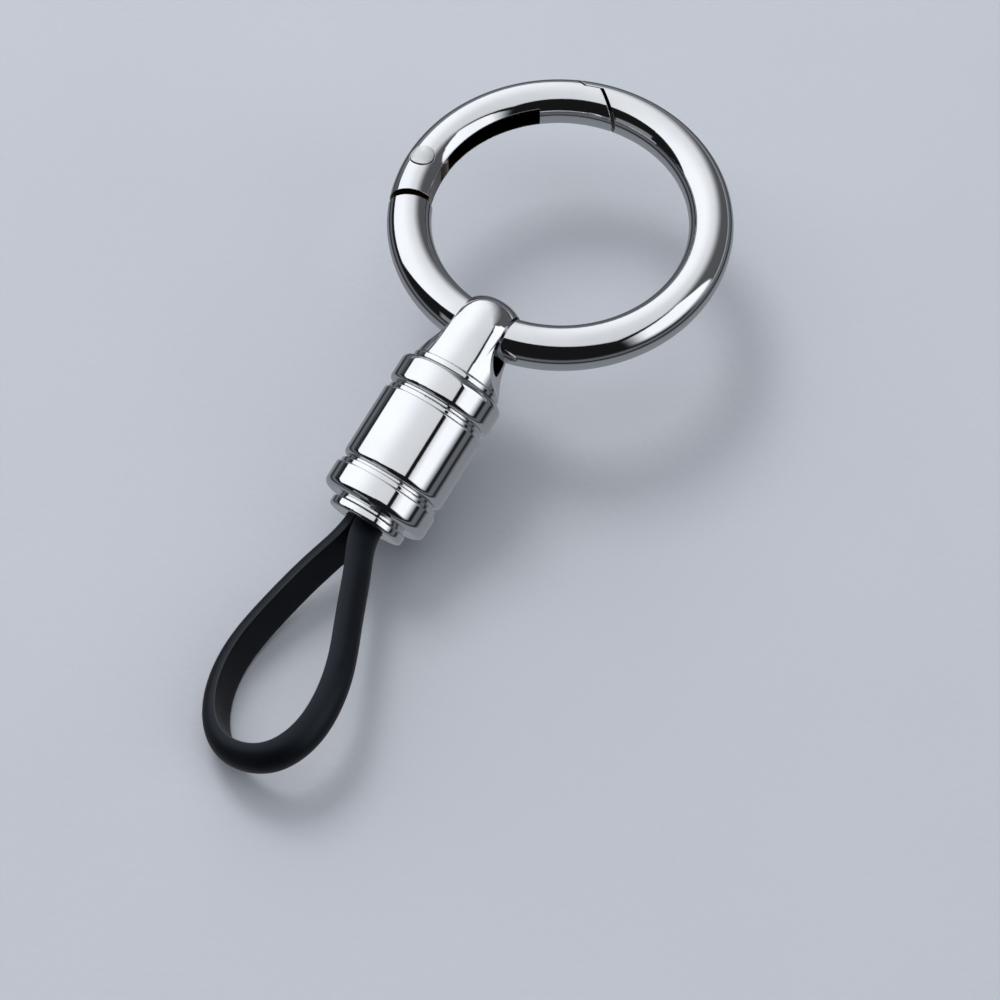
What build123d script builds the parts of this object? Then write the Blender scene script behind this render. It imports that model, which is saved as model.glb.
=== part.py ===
from build123d import *
import math
import os

os.makedirs("parts", exist_ok=True)

# Spring-gate key ring with a swivel barrel and a moulded rubber strap. Millimetres.
# Origin: centre of the ring. +Z: normal of the ring's plane. The barrel points along -Y, sloping down.

# Ring: round wire bent to a circle. Angles run anticlockwise about +Z, and the barrel's eye is at 270.
ring_r = 15.25
wire_r = 2.25
eye_angle = 270.0

# Hinge end of the gate
shoulder_angle = 203.0
tail_angle = 200.3
pin_angle = 184.0
pin_radial = 15.5
pin_shank_r = 0.6
pin_tang_gap = 0.04
pin_head_r = 1.2
pin_head_gap = 0.07
pin_head_seat = 1.5
pin_dome = 0.14
pin_dome_span = 20.0

# Spring channel, cut into the gate from inside the ring
slot_end_angle = 128.1
slot_half = 1.25
slot_wall_r = 16.5

# Tang of the ring, inside the channel
tang_half = 1.1
tang_in_r = 13.4
tang_out_r = 16.3
tang_root_angle = 206.0
knuckle_r = 0.8
nose_r = 1.15
nose_ahead = 1.2
nose_inward = 1.1

# Latch: the ring's outer lip laps over the gate's inner lip
lap_r = 15.9
lip_tip_angle = 109.1
lap_end_angle = 102.7
tip_slope = 3.1
slant_slope = 3.4
tip_gap_angle = 0.85
lap_gap = 0.11
slant_gap_angle = 1.3
latch_reach = 3.2
latch_back_angle = 75.0
latch_blank = 15.0
latch_overlap = 5.0

# Plunger and coil spring
plunger_r = 1.1
plunger_in = 0.7
plunger_length = 1.15
plunger_boss_r = 0.4
plunger_boss_length = 0.5
nose_to_plunger = 0.02
coil_ring_r = 15.1
coil_r = 0.86
coil_wire_r = 0.14
coil_start_angle = 169.2
coil_end_angle = 128.9
coil_turns = 13
coil_points = 10

# Barrel: turned pieces on one axis through the centre of the wire in the eye.
# A station is a distance along that axis from the wire's centre.
# The barrel leans a little off the ring's radius.
slope = 18.0
lean = -3.9

# Eye: a shackle with a round flange and a stud
eye_width = 5.25
eye_top = 3.35
eye_side_r = 3.95
eye_side_at = 0.5
eye_base_r = 4.62
arch_draft = 0.12
eye_hole_r = 2.63
eye_hole_drop = 0.8
eye_edge_round = 0.45
edge_margin = 0.1
mouth_start = 2.0
mouth_end_r = 4.1
flange_top = 5.2
flange_base = 5.8
flange_r = 4.8
flange_round = 0.25
flare_top = -0.6
flare_top_r = 3.65
flare_bend = 0.32
flare_r = 4.66
flare_inset = 0.02
stud_r = 1.5
stud_head_r = 2.3
stud_head_top = 7.8
stud_base = 8.6
stud_round = 0.4

# Washer on the stud
washer_r = 2.7
washer_hole_r = 1.55
washer_top = 7.35
washer_base = 7.75

# Cap: the upper band, with a threaded skirt drawn at its plain diameter
band_r = 5.6
band_round = 0.8
band_base_round = 0.5
cap_top = 5.9
cap_wall_base = 7.3
cap_base = 9.0
cap_hole_r = 1.54
cap_bore_r = 3.0
groove_r = 5.0
groove_width = 0.25
skirt_r = 4.2
skirt_base = 12.4
skirt_round = 0.2

# Sleeve: the main tube
sleeve_r = 5.5
sleeve_bore_r = 4.25
sleeve_top = cap_base + groove_width
sleeve_base = 17.7
bead_drop = 0.3
bead_length = 0.55
bead_round = 0.2
step_round = 0.25
sleeve_round = 0.6

# End collar: the lower band, pressed into the sleeve, with a lip round the strap
spigot_top = 14.6
collar_top = sleeve_base + groove_width
collar_base = 21.2
pocket_r = 3.05
pocket_floor = 20.3
neck_r = 3.7
neck_base = 21.55
neck_round = 0.25
lip_r = 4.05
lip_base = 22.6
lip_round = 0.35
mouth_r = 2.15

# Strap: a half-round band folded in two, so that its ends make one round head.
# The loop leaves the barrel rolled a little to one side, and rests on that side's edge.
strap_r = 1.95
strap_split = 0.02
head_split = 0.05
head_r = 2.95
head_top = 16.7
head_base = 20.2
head_round = 0.3
stem_stations = (18.6, 20.4, 22.2)
band_sections = 64
loop_yaw = 6.6
loop_roll = 20.0
loop_slope = 0.04
loop_bow = -0.85
loop_blend = 6.0
loop_outline = [
    (1.4, 0.22),
    (5.5, 1.7),
    (11.0, 3.7),
    (16.0, 5.15),
    (20.0, 5.3),
    (23.6, 4.1),
    (25.4, 2.2),
]
loop_end = 25.9


def polar(radius, angle):
    """Point in the ring's plane."""
    turn = math.radians(angle)
    return (radius * math.cos(turn), radius * math.sin(turn))


def sector(face, start, end):
    """Solid made by turning a face in the XZ plane about Z from one angle to another."""
    return Rot(0, 0, start) * revolve(face, Axis.Z, revolution_arc=end - start)


def wire_section(radius):
    """Round section of the ring's wire, in the XZ plane."""
    return Plane.XZ * Pos(ring_r, 0) * Circle(radius)


def band_section(inner, outer, half_height):
    """Rectangular section between two radii, in the XZ plane."""
    middle = (inner + outer) / 2
    return Plane.XZ * Pos(middle, 0) * Rectangle(outer - inner, 2 * half_height)


def plan_solid(face, half_height):
    """Plate of the given half thickness from an outline in the ring's plane."""
    return extrude(face, half_height, both=True)


def pin_place(ahead=0.0, inward=0.0):
    """Place beside the hinge pin: ahead runs along the ring towards the gate's tip."""
    return Rot(0, 0, pin_angle) * Pos(pin_radial - inward, -ahead, 0)


def latch_side(tip_gap, gap, slant_gap):
    """Everything on the ring's side of the latch, with gaps for the gate's own face."""
    corner_r = lap_r - gap
    tip = lip_tip_angle + tip_gap
    heel = lap_end_angle + slant_gap
    reach = latch_reach
    outline = [
        Line(polar(corner_r + reach, tip + tip_slope * reach), polar(corner_r, tip)),
        ThreePointArc(polar(corner_r, tip), polar(corner_r, (tip + heel) / 2), polar(corner_r, heel)),
        Line(polar(corner_r, heel), polar(corner_r - reach, heel - slant_slope * reach)),
        Polyline(
            polar(corner_r - reach, heel - slant_slope * reach),
            polar(corner_r - reach, latch_back_angle),
            polar(corner_r + 2 * reach, latch_back_angle),
            polar(corner_r + 2 * reach, tip),
            polar(corner_r + reach, tip + tip_slope * reach),
        ),
    ]
    return plan_solid(make_face(outline), 2 * wire_r)


def make_tang():
    """Flat tongue at the hinge end of the ring, rounded where it pushes the plunger."""
    root = sector(band_section(tang_in_r, tang_out_r, tang_half), pin_angle, tang_root_angle)
    knuckle = pin_place() * Circle(knuckle_r)
    nose = pin_place(nose_ahead, nose_inward) * Circle(nose_r)
    finger = make_face(make_hull(knuckle.edges() + nose.edges()))
    heel = pin_place(0, nose_inward / 2) * Circle(nose_r)
    return root + plan_solid(finger, tang_half) + plan_solid(heel, tang_half)


def make_ring_body():
    """Fixed part of the ring: the long arc, the latch lip and the tang."""
    arc = sector(wire_section(wire_r), shoulder_angle, 360 + latch_back_angle)
    lip_blank = sector(wire_section(wire_r), latch_back_angle, lip_tip_angle + latch_blank)
    lip = lip_blank & latch_side(0, 0, 0)
    hole = pin_place() * Cylinder(pin_shank_r + pin_tang_gap, 4 * tang_half)
    return arc + lip + make_tang() - hole


def make_ring_gate():
    """Spring gate: a round arc, hollowed from inside for the tang, plunger and spring."""
    blank = sector(wire_section(wire_r), latch_back_angle + latch_overlap, tail_angle)
    gate = blank - latch_side(tip_gap_angle, lap_gap, slant_gap_angle)
    channel_section = band_section(ring_r - 2 * wire_r, slot_wall_r, slot_half)
    channel = sector(channel_section, slot_end_angle, tail_angle + latch_overlap)
    hole = pin_place() * Cylinder(pin_shank_r, 4 * wire_r)
    gate = gate - channel - hole
    for side in (1, -1):
        seat = Cylinder(pin_head_r + pin_head_gap, wire_r)
        gate -= pin_place() * Pos(0, 0, side * (pin_head_seat + wire_r / 2)) * seat
    return gate


def make_hinge_pin():
    """Rivet through the gate's cheeks, with a low domed head on each side."""
    pin = Cylinder(pin_shank_r, 2 * pin_head_seat)
    for side in (1, -1):
        pin += Pos(0, 0, side * (pin_head_seat + wire_r / 2)) * Cylinder(pin_head_r, wire_r)
    dome = sector(wire_section(wire_r + pin_dome), pin_angle - pin_dome_span, pin_angle + pin_dome_span)
    return pin_place() * pin & dome


def make_plunger():
    """Short button between the tang's nose and the spring."""
    start = nose_ahead + nose_r + nose_to_plunger
    place = pin_place(start, plunger_in) * Rot(90, 0, 0)
    button = Pos(0, 0, plunger_length / 2) * Cylinder(plunger_r, plunger_length)
    boss_centre = plunger_length + plunger_boss_length / 2
    boss = Pos(0, 0, boss_centre) * Cylinder(plunger_boss_r, plunger_boss_length)
    return place * (button + boss)


def make_gate_spring():
    """Coil spring bent along the channel."""
    steps = coil_turns * coil_points
    points = []
    for step in range(steps + 1):
        angle = coil_start_angle + (coil_end_angle - coil_start_angle) * step / steps
        turn = 2 * math.pi * step / coil_points
        x, y = polar(coil_ring_r + coil_r * math.cos(turn), angle)
        points.append((x, y, coil_r * math.sin(turn)))
    path = Spline(*points)
    section = Plane(origin=path @ 0, z_dir=path % 0) * Circle(coil_wire_r)
    return sweep(section, path)


def barrel_place():
    """Frame of the barrel: +Z points back up the axis towards the ring, -Y to its upper side."""
    x, y = polar(ring_r, eye_angle)
    return Location((x, y, 0)) * Rot(0, 0, lean) * Rot(slope - 90, 0, 0)


def turned(points, rounds=()):
    """Turned piece from (radius, station) corners, with (corner, radius) fillets in the profile."""
    corners = [(radius, -station) for radius, station in points]
    face = make_face(Polyline(*corners, close=True))
    for (radius, station), size in rounds:
        corner = face.vertices().sort_by_distance((radius, -station, 0))[0]
        face = fillet(corner, size)
    return revolve(Plane.XZ * face, Axis.Z)


def eye_bar():
    """Shackle's bar: a turned bullet, cut flat on its two sides."""
    arch = Spline((0, eye_top), (eye_side_r, -eye_side_at), tangents=[(1, 0), (arch_draft, -1)])
    foot = Polyline((eye_side_r, -eye_side_at), (eye_base_r, -flange_top), (0, -flange_top), (0, eye_top))
    bullet = revolve(Plane.XZ * make_face([arch, foot]), Axis.Z)
    bar = bullet & Box(eye_width, 2 * flange_r, 2 * flange_top)
    rims = bar.edges().filter_by(lambda edge: abs(edge.center().X) > eye_width / 2 - edge_margin)
    rims = rims.filter_by(lambda edge: edge.center().Z > -flange_top + edge_margin)
    return fillet(rims, eye_edge_round)


def eye_flare():
    """Concave sides that widen the shackle's foot to the flange."""
    half = eye_width / 2 - flare_inset
    bend_x = half + flare_bend * (flare_r - half)
    bend_z = -flare_top - (1 - flare_bend) * (flange_top - flare_top)
    front = [
        ThreePointArc((half, -flare_top), (bend_x, bend_z), (flare_r, -flange_top)),
        Line((flare_r, -flange_top), (-flare_r, -flange_top)),
        ThreePointArc((-flare_r, -flange_top), (-bend_x, bend_z), (-half, -flare_top)),
        Line((-half, -flare_top), (half, -flare_top)),
    ]
    bell = turned([(0, flare_top), (flare_top_r, flare_top), (flare_r, flange_top), (0, flange_top)])
    return extrude(Plane.XZ * make_face(front), flange_r, both=True) & bell


def eye_opening():
    """Hole for the ring's wire, opening out at both mouths."""
    slot = Circle(eye_hole_r) + Pos(0, -eye_hole_drop) * Circle(eye_hole_r)
    slot += Pos(0, -eye_hole_drop / 2) * Rectangle(2 * eye_hole_r, eye_hole_drop)
    opening = extrude(Plane.YZ * slot, flange_r + 1, both=True)
    depth = flange_r - mouth_start
    for side in (1, -1):
        place = Pos(side * (mouth_start + depth / 2), 0, 0) * Rot(0, side * 90, 0)
        opening += place * Cone(eye_hole_r, mouth_end_r, depth)
    return opening


def make_swivel_eye():
    """Shackle, flange, stud and the stud's peened head in one piece."""
    flange = turned(
        [
            (0, flange_top), (flange_r, flange_top), (flange_r, flange_base), (stud_r, flange_base),
            (stud_r, stud_head_top), (stud_head_r, stud_head_top), (stud_head_r, stud_base), (0, stud_base),
        ],
        [((flange_r, flange_top), flange_round), ((stud_head_r, stud_base), stud_round)],
    )
    return barrel_place() * (eye_bar() + eye_flare() + flange - eye_opening())


def make_washer():
    """Flat washer under the peened head."""
    return barrel_place() * turned([
        (washer_hole_r, washer_top), (washer_r, washer_top),
        (washer_r, washer_base), (washer_hole_r, washer_base),
    ])


def make_cap():
    """Upper band with its skirt."""
    return barrel_place() * turned(
        [
            (cap_hole_r, cap_top), (band_r, cap_top), (band_r, cap_base), (groove_r, cap_base),
            (groove_r, sleeve_top), (skirt_r, sleeve_top), (skirt_r, skirt_base), (cap_bore_r, skirt_base),
            (cap_bore_r, cap_wall_base), (cap_hole_r, cap_wall_base),
        ],
        [
            ((band_r, cap_top), band_round), ((band_r, cap_base), band_base_round),
            ((skirt_r, skirt_base), skirt_round),
        ],
    )


def make_sleeve():
    """Main tube with a narrow bead under the groove."""
    bead_r = sleeve_r - bead_drop
    bead_base = sleeve_top + bead_length
    return barrel_place() * turned(
        [
            (sleeve_bore_r, sleeve_top), (bead_r, sleeve_top), (bead_r, bead_base),
            (sleeve_r, bead_base), (sleeve_r, sleeve_base), (sleeve_bore_r, sleeve_base),
        ],
        [
            ((bead_r, sleeve_top), bead_round), ((sleeve_r, bead_base), step_round),
            ((sleeve_r, sleeve_base), sleeve_round),
        ],
    )


def make_collar():
    """Lower band with its bead, its spigot in the sleeve, and the lip round the strap's mouth."""
    bead_r = band_r - bead_drop
    bead_base = collar_top + bead_length
    return barrel_place() * turned(
        [
            (pocket_r, spigot_top), (sleeve_bore_r, spigot_top), (sleeve_bore_r, sleeve_base),
            (groove_r, sleeve_base), (groove_r, collar_top), (bead_r, collar_top),
            (bead_r, bead_base), (band_r, bead_base), (band_r, collar_base), (neck_r, collar_base),
            (neck_r, neck_base), (lip_r, neck_base), (lip_r, lip_base), (mouth_r, lip_base),
            (mouth_r, pocket_floor), (pocket_r, pocket_floor),
        ],
        [
            ((bead_r, collar_top), bead_round), ((band_r, bead_base), step_round),
            ((band_r, collar_base), band_round), ((lip_r, neck_base), neck_round),
            ((lip_r, lip_base), lip_round),
        ],
    )


def strap_place():
    """Barrel frame, rolled with the strap: X points across the split between the two band ends."""
    return barrel_place() * Rot(0, 0, -loop_roll)


def stem_point(station, side):
    """Point on the flat inner face of a band end, inside the barrel."""
    return (strap_place() * Pos(side * strap_split, 0, -station)).position


def loop_place(distance):
    """Frame of the loop at a distance past the lip: X across the loop, Z square to it."""
    mouth = stem_point(lip_base, 0)
    bow = loop_bow * math.sin(math.pi * distance / loop_end)
    level = Pos(mouth.X, mouth.Y, mouth.Z) * Rot(0, 0, loop_yaw)
    return level * Pos(0, -distance, -loop_slope * distance) * Rot(0, -loop_roll, 0) * Pos(bow, 0, 0)


def loop_point(distance, side):
    """Point on the flat inner face of the loop, past the lip."""
    return (loop_place(distance) * Pos(side, 0, 0)).position


def band_slice(path, fraction):
    """Half-round section on the path, with its flat side facing into the loop."""
    middle = path @ fraction
    along = path % fraction
    past = (stem_point(lip_base, 0).Y - middle.Y) / loop_blend
    share = min(max(past, 0), 1)
    stem_up = Plane(strap_place()).y_dir * -1
    loop_up = Plane(loop_place(loop_end)).z_dir
    upright = stem_up * (1 - share) + loop_up * share
    place = Plane(origin=middle, x_dir=along.cross(upright), z_dir=along)
    return place * (Circle(strap_r) & Pos(strap_r, 0) * Rectangle(2 * strap_r, 2 * strap_r))


def half_head(side):
    """Half of the round head, on one end of the band."""
    head = turned(
        [(0, head_top), (head_r, head_top), (head_r, head_base), (0, head_base)],
        [((head_r, head_top), head_round)],
    )
    span = 2 * head_base
    keep = Pos(side * (span / 2 + head_split), 0, -head_base) * Box(span, span, span)
    return (strap_place() * keep) & (barrel_place() * head)


def make_strap():
    """Moulded rubber band: two half heads joined by a teardrop loop."""
    out = [stem_point(station, -1) for station in stem_stations]
    out += [loop_point(distance, -half) for distance, half in loop_outline]
    back = [loop_point(distance, half) for distance, half in reversed(loop_outline)]
    back += [stem_point(station, 1) for station in reversed(stem_stations)]
    path = Spline(*out, loop_point(loop_end, 0), *back)
    band = loft([band_slice(path, step / band_sections) for step in range(band_sections + 1)])
    return band + half_head(-1) + half_head(1)


nodes = {
    "ring_body": make_ring_body(),
    "ring_gate": make_ring_gate(),
    "gate_hinge_pin": make_hinge_pin(),
    "gate_spring": make_gate_spring(),
    "spring_plunger": make_plunger(),
    "swivel_eye": make_swivel_eye(),
    "swivel_washer": make_washer(),
    "swivel_cap": make_cap(),
    "barrel_sleeve": make_sleeve(),
    "end_collar": make_collar(),
    "strap_loop": make_strap(),
}

for name, shape in nodes.items():
    export_step(shape, f"parts/{name}.step")
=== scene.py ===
import math

import bmesh
import bpy
import numpy as np
from mathutils import Matrix, Vector


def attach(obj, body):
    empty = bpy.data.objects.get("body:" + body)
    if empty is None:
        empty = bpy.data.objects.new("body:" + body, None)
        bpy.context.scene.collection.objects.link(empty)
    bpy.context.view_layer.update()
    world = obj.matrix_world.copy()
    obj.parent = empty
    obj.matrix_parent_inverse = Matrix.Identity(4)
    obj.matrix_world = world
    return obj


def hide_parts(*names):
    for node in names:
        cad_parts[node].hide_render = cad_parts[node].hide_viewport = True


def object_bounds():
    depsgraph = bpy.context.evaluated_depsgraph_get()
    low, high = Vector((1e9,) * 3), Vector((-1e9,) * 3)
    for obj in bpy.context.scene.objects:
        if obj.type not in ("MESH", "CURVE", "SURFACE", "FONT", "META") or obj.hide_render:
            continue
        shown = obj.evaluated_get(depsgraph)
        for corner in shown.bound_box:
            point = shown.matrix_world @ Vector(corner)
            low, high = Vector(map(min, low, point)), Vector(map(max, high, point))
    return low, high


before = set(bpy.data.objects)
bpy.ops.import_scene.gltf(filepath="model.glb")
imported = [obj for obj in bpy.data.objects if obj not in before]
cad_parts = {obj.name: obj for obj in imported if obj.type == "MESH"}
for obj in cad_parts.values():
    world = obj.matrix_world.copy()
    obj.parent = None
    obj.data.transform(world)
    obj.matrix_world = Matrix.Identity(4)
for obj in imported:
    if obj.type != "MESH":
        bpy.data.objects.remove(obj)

cad_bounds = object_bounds()

MM = 0.001
RING_R = 15.25
WIRE_R = 2.25

# ---------------------------------------------------------------- node helpers


class Nodes:
    """Short way to add and join the nodes of one material or world."""

    def __init__(self, tree):
        self.tree = tree
        self.tree.nodes.clear()

    def add(self, kind, inputs=None, **settings):
        node = self.tree.nodes.new(kind)
        for key, value in settings.items():
            setattr(node, key, value)
        for key, value in (inputs or {}).items():
            if isinstance(value, bpy.types.NodeSocket):
                self.tree.links.new(value, node.inputs[key])
            else:
                node.inputs[key].default_value = value
        return node

    def maths(self, operation, a, b=0.0, clamp=False):
        node = self.add("ShaderNodeMath", {0: a, 1: b}, operation=operation, use_clamp=clamp)
        return node.outputs[0]

    def noise(self, vector, scale, detail=3.0, roughness=0.5):
        node = self.add("ShaderNodeTexNoise", {
            "Vector": vector, "Scale": scale, "Detail": detail, "Roughness": roughness})
        return node.outputs["Fac"]

    def spread(self, value, low, high, to_low=0.0, to_high=1.0):
        """Smooth step of a value from one range to another."""
        node = self.add("ShaderNodeMapRange", {
            "Value": value, "From Min": low, "From Max": high, "To Min": to_low, "To Max": to_high},
            interpolation_type="SMOOTHSTEP")
        return node.outputs["Result"]

    def mix(self, share, a, b):
        node = self.add("ShaderNodeMix", data_type="RGBA")
        for socket, value in ((0, share), (6, a), (7, b)):
            if isinstance(value, bpy.types.NodeSocket):
                self.tree.links.new(value, node.inputs[socket])
            else:
                node.inputs[socket].default_value = value
        return node.outputs[2]


def grey(value, blue=0.0):
    return (value, value * (1 + blue / 3), value * (1 + blue), 1.0)


# ---------------------------------------------------------------- materials


def inside_wire(n, place):
    """1 on the cut faces inside the ring's round wire, 0 on its outer surface."""
    split = n.add("ShaderNodeSeparateXYZ", {0: place})
    x, y, z = split.outputs[0], split.outputs[1], split.outputs[2]
    ring = n.maths("SQRT", n.maths("ADD", n.maths("MULTIPLY", x, x), n.maths("MULTIPLY", y, y)))
    off = n.maths("SUBTRACT", ring, RING_R * MM)
    depth = n.maths("SQRT", n.maths("ADD", n.maths("MULTIPLY", off, off), n.maths("MULTIPLY", z, z)))
    return n.spread(depth, (WIRE_R - 0.03) * MM, (WIRE_R - 0.10) * MM)


def chrome(name, tint, edge_mm, grime, wire=False):
    """Polished chrome plate: faint orange peel, fine handling scratches, dulled film in patches."""
    material = bpy.data.materials.new(name)
    material.use_nodes = True
    n = Nodes(material.node_tree)
    place = n.add("ShaderNodeTexCoord").outputs["Object"]
    film = n.noise(place, 260.0, 4.0, 0.55)
    fine = n.noise(place, 2400.0, 3.0, 0.6)
    warp = n.add("ShaderNodeMapping", {"Vector": place, "Scale": (9000.0, 500.0, 1800.0),
                                       "Rotation": (0.4, 0.7, 0.3)}).outputs["Vector"]
    hair = n.noise(warp, 1.0, 2.0, 0.7)
    scratch = n.spread(hair, 0.66, 0.74)
    film_share = n.spread(film, 0.42, 0.72)
    rough = n.maths("ADD", 0.035, n.maths("MULTIPLY", film_share, 0.035 * grime))
    rough = n.maths("ADD", rough, n.maths("MULTIPLY", scratch, 0.05 * grime))
    colour = n.mix(film_share, grey(tint, 0.03), grey(tint * 0.965, 0.045))
    if wire:
        # Cut faces inside the wire turn dark brown and rougher: partly bare unplated metal, partly painted shade
        # that darkens the slot and the gate gap.
        bare_and_shaded = inside_wire(n, place)
        colour = n.mix(bare_and_shaded, colour, (0.085, 0.058, 0.038, 1.0))
        rough = n.maths("ADD", rough, n.maths("MULTIPLY", bare_and_shaded, 0.22))
    bevel = n.add("ShaderNodeBevel", {"Radius": edge_mm * MM}, samples=4)
    peel = n.add("ShaderNodeBump", {"Height": n.noise(place, 900.0, 2.0, 0.4), "Strength": 0.012,
                                    "Distance": 0.00008, "Normal": bevel.outputs[0]})
    bump = n.add("ShaderNodeBump", {"Height": n.maths("ADD", n.maths("MULTIPLY", fine, 0.3), scratch),
                                    "Strength": 0.02 * grime, "Distance": 0.00002,
                                    "Normal": peel.outputs[0]})
    shader = n.add("ShaderNodeBsdfPrincipled", {
        "Base Color": colour, "Metallic": 1.0, "Roughness": rough, "Normal": bump.outputs[0]})
    n.add("ShaderNodeOutputMaterial", {"Surface": shader.outputs[0]})
    return material


def worked_metal(name, light, dark, roughness, grain):
    """Unplated or satin metal: turned grain, oily patches."""
    material = bpy.data.materials.new(name)
    material.use_nodes = True
    n = Nodes(material.node_tree)
    place = n.add("ShaderNodeTexCoord").outputs["Object"]
    patch = n.spread(n.noise(place, 700.0, 4.0, 0.6), 0.35, 0.65)
    fine = n.noise(place, 5200.0, 3.0, 0.65)
    colour = n.mix(patch, light, dark)
    rough = n.maths("ADD", roughness, n.maths("MULTIPLY", patch, 0.12))
    bump = n.add("ShaderNodeBump", {"Height": fine, "Strength": grain, "Distance": 0.00004})
    shader = n.add("ShaderNodeBsdfPrincipled", {
        "Base Color": colour, "Metallic": 1.0, "Roughness": rough, "Normal": bump.outputs[0]})
    n.add("ShaderNodeOutputMaterial", {"Surface": shader.outputs[0]})
    return material


def rubber(name):
    """Matte black moulded rubber: fine mould grain, dusty bloom in patches, a painted highlight along the rounded
    band edges, a few specks.
    """
    material = bpy.data.materials.new(name)
    material.use_nodes = True
    n = Nodes(material.node_tree)
    place = n.add("ShaderNodeTexCoord").outputs["Object"]
    bloom = n.spread(n.noise(place, 190.0, 5.0, 0.6), 0.38, 0.7)
    grain = n.noise(place, 5200.0, 4.0, 0.62)
    cells = n.add("ShaderNodeTexVoronoi", {"Vector": place, "Scale": 950.0}).outputs["Distance"]
    dot = n.spread(cells, 0.03, 0.06, 1.0, 0.0)
    rare = n.spread(n.noise(place, 520.0, 1.0), 0.69, 0.72)
    speck = n.maths("MULTIPLY", dot, rare)
    # Painted highlight: the rounded band edges are lightened towards grey, broken up by noise.
    rim = n.add("ShaderNodeAttribute", attribute_name="rim").outputs["Fac"]
    rim_highlight = n.maths("MULTIPLY", rim, n.spread(n.noise(place, 75.0, 4.0, 0.6), 0.30, 0.62))
    base = n.mix(bloom, grey(0.0035, 0.6), grey(0.0065, 0.6))
    base = n.mix(n.maths("MULTIPLY", rim_highlight, 0.6), base, grey(0.075, 0.04))
    base = n.mix(n.maths("MULTIPLY", speck, 0.6), base, grey(0.16, 0.0))
    rough = n.maths("ADD", 0.42, n.maths("MULTIPLY", bloom, 0.10))
    bump = n.add("ShaderNodeBump", {"Height": grain, "Strength": 0.22, "Distance": 0.00003})
    shader = n.add("ShaderNodeBsdfPrincipled", {
        "Base Color": base, "Roughness": rough, "Specular IOR Level": 0.28,
        "Specular Tint": (0.72, 0.82, 1.0, 1.0), "Normal": bump.outputs[0]})
    n.add("ShaderNodeOutputMaterial", {"Surface": shader.outputs[0]})
    return material


def tabletop(name):
    """Pale matt floor with a very faint leather-like grain."""
    material = bpy.data.materials.new(name)
    material.use_nodes = True
    n = Nodes(material.node_tree)
    place = n.add("ShaderNodeTexCoord").outputs["Object"]
    grain = n.add("ShaderNodeTexVoronoi", {"Vector": place, "Scale": 1250.0},
                  feature="SMOOTH_F1").outputs["Distance"]
    cloud = n.noise(place, 30.0, 3.0)
    colour = n.mix(cloud, grey(0.50, 0.16), grey(0.54, 0.16))
    bump = n.add("ShaderNodeBump", {"Height": grain, "Strength": 0.25, "Distance": 0.0001})
    shader = n.add("ShaderNodeBsdfPrincipled", {
        "Base Color": colour, "Roughness": 0.6, "Normal": bump.outputs[0]})
    # Painted reflection: to glossy rays the floor glows by the rays' slant instead of shading, so polished metal
    # sees grey close by, near-black further out with a glowing strip across it, and a paler far edge behind the
    # object
    seen_from = n.add("ShaderNodeSeparateXYZ", {0: n.add("ShaderNodeNewGeometry").outputs["Incoming"]})
    slant = seen_from.outputs[2]
    close = n.spread(slant, 0.42, 0.62)
    strip = n.maths("MULTIPLY", n.spread(slant, 0.11, 0.19), n.spread(slant, 0.42, 0.31))
    behind = n.spread(seen_from.outputs[1], -0.15, -0.5)
    far = n.maths("MULTIPLY", n.spread(slant, 0.16, 0.10), behind)
    level = n.maths("ADD", n.maths("MULTIPLY", close, 0.30), n.maths("MULTIPLY", far, 0.42))
    level = n.maths("ADD", level, n.maths("MULTIPLY", strip, 0.16))
    painted_reflection = n.add("ShaderNodeEmission", {"Color": (0.86, 0.91, 1.0, 1.0), "Strength": n.maths("ADD", level, 0.02)})
    mirrored = n.add("ShaderNodeLightPath").outputs["Is Glossy Ray"]
    both = n.add("ShaderNodeMixShader", {0: mirrored, 1: shader.outputs[0], 2: painted_reflection.outputs[0]})
    n.add("ShaderNodeOutputMaterial", {"Surface": both.outputs[0]})
    return material


ring_chrome = chrome("ring_chrome_plate", 0.66, 0.09, 1.0, wire=True)
barrel_chrome = chrome("barrel_chrome_plate", 0.69, 0.09, 0.8)
pin_metal = worked_metal("pin_satin_nickel", grey(0.60, 0.01), grey(0.50, 0.02), 0.3, 0.05)
spring_metal = worked_metal("spring_oiled_steel", (0.045, 0.036, 0.030, 1), (0.020, 0.014, 0.011, 1), 0.36, 0.08)
plunger_metal = worked_metal("plunger_turned_brass", (0.16, 0.085, 0.045, 1), (0.08, 0.04, 0.025, 1), 0.32, 0.08)
strap_rubber = rubber("strap_black_rubber")

finishes = {
    "ring_body": ring_chrome,
    "ring_gate": ring_chrome,
    "gate_hinge_pin": pin_metal,
    "gate_spring": spring_metal,
    "spring_plunger": plunger_metal,
    "swivel_eye": barrel_chrome,
    "swivel_washer": spring_metal,
    "swivel_cap": barrel_chrome,
    "barrel_sleeve": barrel_chrome,
    "end_collar": barrel_chrome,
}
for node_name, finish in finishes.items():
    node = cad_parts[node_name]
    node.data.materials.clear()
    node.data.materials.append(finish)

# ---------------------------------------------------------------- strap mesh

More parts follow.
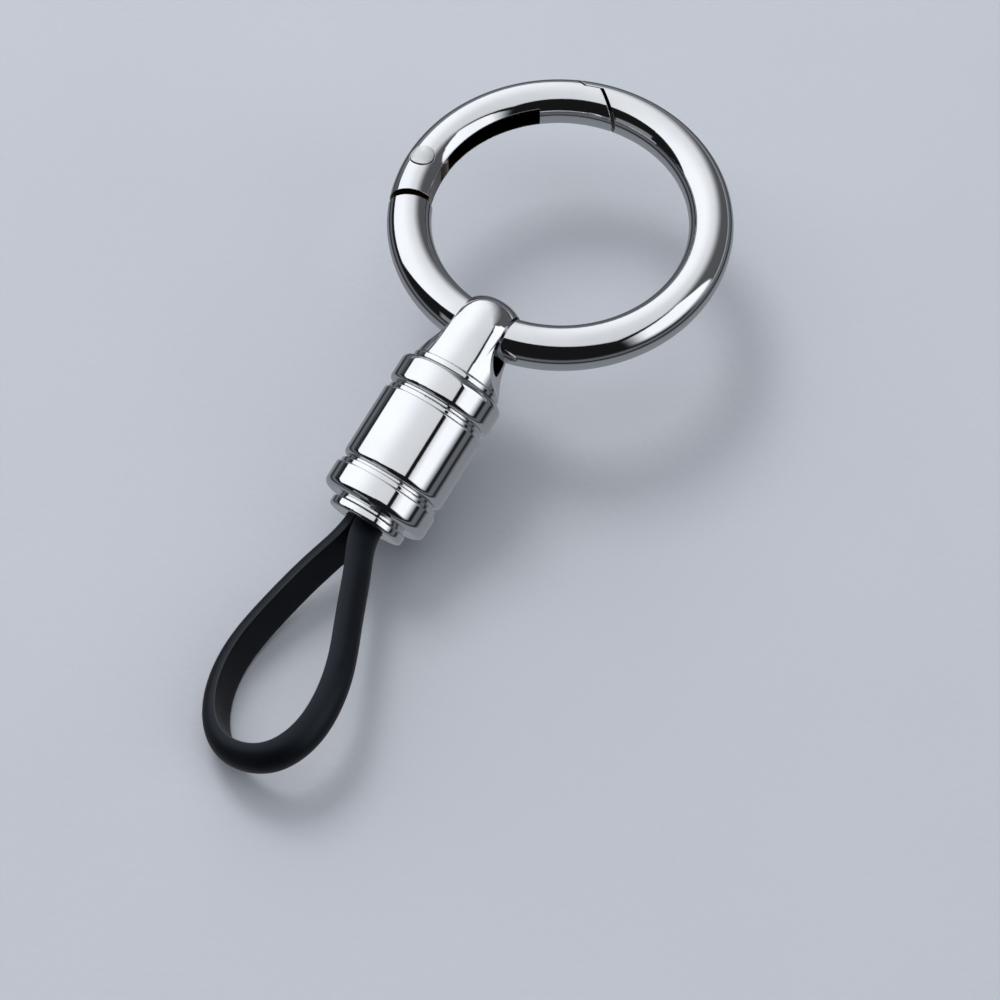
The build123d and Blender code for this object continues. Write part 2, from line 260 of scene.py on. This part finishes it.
SLOPE = math.radians(18.0)
LEAN = math.radians(-3.9)
EYE_CENTRE = Vector((0.0, -15.25, 0.0))
STRAP_R = 1.95
SPLIT = 0.02
HEAD_SPLIT = 0.05
BAND_EDGE = 0.14
HEAD_R = 2.95
HEAD_TOP = 16.7
HEAD_BASE = 20.2
HEAD_ROUND = 0.35
STEM_STATIONS = (18.6, 20.4, 22.2)
LIP_STATION = 22.6
LOOP_YAW = math.radians(6.6)
LOOP_ROLL = math.radians(20.0)
LOOP_SLOPE = 0.04
LOOP_BOW = -0.85
LOOP_BLEND = 6.0
LOOP_OUTLINE = ((1.4, 0.22), (5.5, 1.7), (11.0, 3.7), (16.0, 5.15), (20.0, 5.3), (23.6, 4.1), (25.4, 2.2))
LOOP_END = 25.9

barrel = (Matrix.Translation(EYE_CENTRE) @ Matrix.Rotation(LEAN, 4, "Z")
          @ Matrix.Rotation(SLOPE - math.pi / 2, 4, "X"))
strap_frame = barrel @ Matrix.Rotation(-LOOP_ROLL, 4, "Z")


def stem_point(station, side):
    return strap_frame @ Vector((side * SPLIT, 0, -station))


def loop_frame(distance):
    mouth = stem_point(LIP_STATION, 0)
    bow = LOOP_BOW * math.sin(math.pi * distance / LOOP_END)
    return (Matrix.Translation(mouth) @ Matrix.Rotation(LOOP_YAW, 4, "Z")
            @ Matrix.Translation((0, -distance, -LOOP_SLOPE * distance))
            @ Matrix.Rotation(-LOOP_ROLL, 4, "Y") @ Matrix.Translation((bow, 0, 0)))


def loop_point(distance, side):
    return loop_frame(distance) @ Vector((side, 0, 0))


def smooth_path(points, count):
    """Natural cubic spline through the points, sampled evenly along its length."""
    p = np.array([tuple(q) for q in points])
    t = np.concatenate([[0], np.cumsum(np.linalg.norm(np.diff(p, axis=0), axis=1))])
    h = np.diff(t)
    size = len(p)
    a = np.zeros((size, size))
    b = np.zeros((size, 3))
    a[0, 0] = a[-1, -1] = 1
    for i in range(1, size - 1):
        a[i, i - 1:i + 2] = h[i - 1], 2 * (h[i - 1] + h[i]), h[i]
        b[i] = 6 * ((p[i + 1] - p[i]) / h[i] - (p[i] - p[i - 1]) / h[i - 1])
    m = np.linalg.solve(a, b)

    def at(s):
        i = np.clip(np.searchsorted(t, s) - 1, 0, size - 2)
        x, y, w = (t[i + 1] - s)[:, None], (s - t[i])[:, None], h[i][:, None]
        return ((m[i] * x ** 3 + m[i + 1] * y ** 3) / (6 * w)
                + (p[i] / w - m[i] * w / 6) * x + (p[i + 1] / w - m[i + 1] * w / 6) * y)

    fine = np.linspace(0, t[-1], 4000)
    length = np.concatenate([[0], np.cumsum(np.linalg.norm(np.diff(at(fine), axis=0), axis=1))])
    return at(np.interp(np.linspace(0, length[-1], count), length, fine))


def band_profile():
    """Half-round section with softened edges: x outwards from the flat face, y across the band."""
    edge = BAND_EDGE
    points = []
    flat_half = STRAP_R - edge - 0.02
    for k in range(9):
        points.append((0.0, -flat_half + 2 * flat_half * k / 8))
    for k in range(1, 6):
        turn = math.pi / 2 * k / 6
        points.append((edge * (1 - math.cos(turn)), flat_half + edge * math.sin(turn)))
    first = math.asin(edge / STRAP_R)
    for k in range(25):
        turn = math.pi / 2 - first - (math.pi - 2 * first) * k / 24
        points.append((STRAP_R * math.cos(turn), STRAP_R * math.sin(turn)))
    for k in range(1, 6):
        turn = math.pi / 2 * (1 - k / 6)
        points.append((edge * (1 - math.cos(turn)), -flat_half - edge * math.sin(turn)))
    return points


def add_rings(bm, rings, close_ends=True):
    """Skin of quads over rings of points, with the two ends closed by fans."""
    rows = [[bm.verts.new(q) for q in ring] for ring in rings]
    size = len(rows[0])
    for lower, upper in zip(rows, rows[1:]):
        for k in range(size):
            bm.faces.new((lower[k], lower[(k + 1) % size], upper[(k + 1) % size], upper[k]))
    if close_ends:
        for row, flip in ((rows[0], True), (rows[-1], False)):
            centre = bm.verts.new(sum((v.co for v in row), Vector()) / size)
            for k in range(size):
                pair = (row[(k + 1) % size], row[k]) if flip else (row[k], row[(k + 1) % size])
                bm.faces.new((centre,) + pair)
    return rows


def add_band(bm):
    out = [stem_point(s, -1) for s in STEM_STATIONS]
    out += [loop_point(d, -half) for d, half in LOOP_OUTLINE]
    back = [loop_point(d, half) for d, half in reversed(LOOP_OUTLINE)]
    back += [stem_point(s, 1) for s in reversed(STEM_STATIONS)]
    line = smooth_path(out + [loop_point(LOOP_END, 0)] + back, 260)
    stem_up = -(strap_frame.to_3x3() @ Vector((0, 1, 0)))
    loop_up = loop_frame(LOOP_END).to_3x3() @ Vector((0, 0, 1))
    mouth_y = stem_point(LIP_STATION, 0).y
    profile = band_profile()
    rings = []
    for k, q in enumerate(line):
        middle = Vector(q)
        along = Vector(line[min(k + 1, len(line) - 1)] - line[max(k - 1, 0)]).normalized()
        share = min(max((mouth_y - middle.y) / LOOP_BLEND, 0), 1)
        upright = stem_up * (1 - share) + loop_up * share
        outward = along.cross(upright).normalized()
        across = along.cross(outward)
        rings.append([(middle + outward * x + across * y) * MM for x, y in profile])
    # The rim layer marks the rounded band edges, where the rubber material paints a highlight.
    rim = bm.verts.layers.float["rim"]
    for row in add_rings(bm, rings):
        for vert, (x, y) in zip(row, profile):
            vert[rim] = 1.0 if 0 < x < BAND_EDGE else 0.0


def add_half_head(bm, side):
    """One half of the round head, lofted as half discs with softened rims."""
    levels = []
    steps = 5
    for k in range(steps + 1):
        turn = math.pi / 2 * k / steps
        levels.append((HEAD_TOP + HEAD_ROUND * (1 - math.sin(turn)), HEAD_R - HEAD_ROUND * (1 - math.cos(turn))))
    levels = levels[::-1]
    rise = [(HEAD_TOP + HEAD_ROUND * (1 - math.cos(math.pi / 2 * k / steps)),
             HEAD_R - HEAD_ROUND * (1 - math.sin(math.pi / 2 * k / steps))) for k in range(steps + 1)]
    fall = [(HEAD_BASE - 0.15 * (1 - math.cos(math.pi / 2 * (1 - k / steps))) * 1.0,
             HEAD_R - 0.15 * (1 - math.sin(math.pi / 2 * (1 - k / steps)))) for k in range(steps + 1)]
    turn_in = LOOP_ROLL
    rings = []
    for station, radius in rise + fall:
        ring = []
        reach = math.sqrt(radius ** 2 - HEAD_SPLIT ** 2)
        for k in range(9):
            ring.append((side * HEAD_SPLIT, -reach + 2 * reach * k / 8))
        start = math.acos(HEAD_SPLIT / radius)
        for k in range(1, 24):
            turn = start - 2 * start * k / 24
            ring.append((side * radius * math.cos(turn), radius * math.sin(turn)))
        if side < 0:
            ring.reverse()
        rings.append([(strap_frame @ Vector((x, y, -station))) * MM for x, y in ring])
    add_rings(bm, rings)


def build_strap():
    mesh = bpy.data.meshes.new("strap_rubber_band")
    bm = bmesh.new()
    bm.verts.layers.float.new("rim")
    add_band(bm)
    for side in (-1, 1):
        add_half_head(bm, side)
    bmesh.ops.recalc_face_normals(bm, faces=bm.faces)
    for face in bm.faces:
        face.smooth = True
    bm.to_mesh(mesh)
    bm.free()
    mesh.set_sharp_from_angle(angle=math.radians(50))
    strap = bpy.data.objects.new("strap_rubber_band", mesh)
    bpy.context.scene.collection.objects.link(strap)
    mesh.materials.append(strap_rubber)
    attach(strap, "strap")
    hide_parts("strap_loop")
    return strap


build_strap()

# ---------------------------------------------------------------- stage and light

low, high = cad_bounds[0], cad_bounds[1]
floor_z = low[2] - 0.00002


def build_floor():
    mesh = bpy.data.meshes.new("floor")
    size = 1.6
    mesh.from_pydata([(-size, -size, floor_z), (size, -size, floor_z), (size, size, floor_z),
                      (-size, size, floor_z)], [], [(0, 1, 2, 3)])
    floor = bpy.data.objects.new("floor", mesh)
    bpy.context.scene.collection.objects.link(floor)
    mesh.materials.append(tabletop("floor_pale"))


def softbox(name, place, target, width, height, power, colour=(1.0, 1.0, 1.0)):
    data = bpy.data.lights.new(name, "AREA")
    data.shape = "RECTANGLE"
    data.size = width
    data.size_y = height
    data.energy = power
    data.color = colour
    light = bpy.data.objects.new(name, data)
    bpy.context.scene.collection.objects.link(light)
    light.location = place
    light.rotation_euler = (Vector(target) - Vector(place)).to_track_quat("-Z", "Y").to_euler()
    light.visible_camera = False
    light.visible_glossy = False


build_floor()
softbox("key_left", (-0.45, 0.30, 0.62), (0, -0.02, 0), 0.30, 0.30, 2.6, (1.0, 0.985, 0.965))

# The studio is painted on the world by direction: a wide overhead sheet, brightest on the left, a panel on the
# right that fades downwards and towards the front, a dim wall behind, and dark on the near side.
SHEET_LEFT = 1.45
SHEET_TOP = 1.0
SHEET_FADE = 0.18
PANEL = 1.42
BACK_WALL = 0.11
LOW_STRIP = 0.30
DARK = 0.012
EDGE = 0.04


def build_world():
    world = bpy.data.worlds.new("studio")
    bpy.context.scene.world = world
    world.use_nodes = True
    n = Nodes(world.node_tree)
    ray = n.add("ShaderNodeTexCoord").outputs["Generated"]
    split = n.add("ShaderNodeSeparateXYZ", {0: ray})
    x, y, z = split.outputs[0], split.outputs[1], split.outputs[2]

    def weighted(a, b, c):
        total = n.maths("MULTIPLY", x, a)
        total = n.maths("ADD", total, n.maths("MULTIPLY", y, b))
        return n.maths("ADD", total, n.maths("MULTIPLY", z, c))

    def above(value, level):
        return n.spread(value, level - EDGE / 2, level + EDGE / 2)

    def product(first, *others):
        for other in others:
            first = n.maths("MULTIPLY", first, other)
        return first

    soft = n.spread(y, 0.15, 0.65)
    right_side = n.spread(weighted(-0.813, -0.259, 0.518), n.maths("SUBTRACT", -EDGE / 2, n.maths("MULTIPLY", soft, 0.23)),
                          n.maths("ADD", EDGE / 2, n.maths("MULTIPLY", soft, 0.33)))
    sheet = product(right_side, above(weighted(-0.235, 0.881, 0.411), 0.0), above(z, 0.10))
    glow = n.maths("SUBTRACT", n.spread(x, -0.75, 0.05, SHEET_LEFT, SHEET_TOP),
                   n.maths("MULTIPLY", n.maths("MAXIMUM", x, 0.0), SHEET_FADE))
    panel = product(above(weighted(0.70, 0.414, -0.583), 0.0), above(weighted(0.545, -0.838, 0.0), 0.0),
                    n.spread(weighted(0.53, 1.0, 0.0), 0.04, 0.36), n.spread(z, -0.08, 0.28))
    strip = product(above(weighted(-1.0, 0.0, 0.0), 0.17), above(weighted(1.0, 0.0, 0.0), -0.62),
                    above(weighted(0.0, -1.0, 0.0), 0.3), n.spread(z, 0.34, 0.26))
    wall = product(n.spread(y, 0.1, 0.5), n.maths("SUBTRACT", 1.0, sheet))
    light = DARK
    for part, level in ((sheet, glow), (panel, PANEL), (strip, LOW_STRIP), (wall, BACK_WALL)):
        light = n.maths("ADD", n.maths("MULTIPLY", part, level), light)
    tint = n.mix(n.spread(z, 0.0, 0.5), (0.90, 0.94, 1.0, 1.0), (0.95, 0.97, 1.0, 1.0))
    studio = n.add("ShaderNodeBackground", {"Color": tint, "Strength": light})
    seen = n.add("ShaderNodeBackground", {"Color": (0.60, 0.63, 0.68, 1.0), "Strength": 1.0})
    camera_ray = n.add("ShaderNodeLightPath").outputs["Is Camera Ray"]
    both = n.add("ShaderNodeMixShader", {0: camera_ray, 1: studio.outputs[0], 2: seen.outputs[0]})
    n.add("ShaderNodeOutputWorld", {"Surface": both.outputs[0]})


build_world()

# ---------------------------------------------------------------- camera

AZIMUTH = 27.42
ELEVATION = 54.42
DISTANCE = 0.2865
FOCAL = 2.823
RING_RIGHT = 0.0602
RING_UP = 0.2786


def build_camera():
    """Camera whose view holds the ring's centre right of and above the middle, with no roll."""
    azimuth, elevation = math.radians(AZIMUTH), math.radians(ELEVATION)
    x, y = RING_RIGHT / FOCAL, RING_UP / FOCAL
    pitch = math.atan(y) + math.asin(math.sin(elevation) * math.sqrt((1 + x * x + y * y) / (1 + y * y)))
    ahead = math.cos(pitch) + y * math.sin(pitch)
    heading = azimuth + math.atan2(x, ahead)
    data = bpy.data.cameras.new("camera")
    data.sensor_width = 36.0
    data.lens = 36.0 * FOCAL
    camera = bpy.data.objects.new("camera", data)
    bpy.context.scene.collection.objects.link(camera)
    camera.location = (DISTANCE * math.sin(azimuth) * math.cos(elevation),
                       -DISTANCE * math.cos(azimuth) * math.cos(elevation),
                       DISTANCE * math.sin(elevation))
    camera.rotation_euler = (math.pi / 2 - pitch, 0, heading)
    data.clip_start = 0.01
    bpy.context.scene.camera = camera


build_camera()
bpy.context.scene.view_settings.view_transform = "Standard"
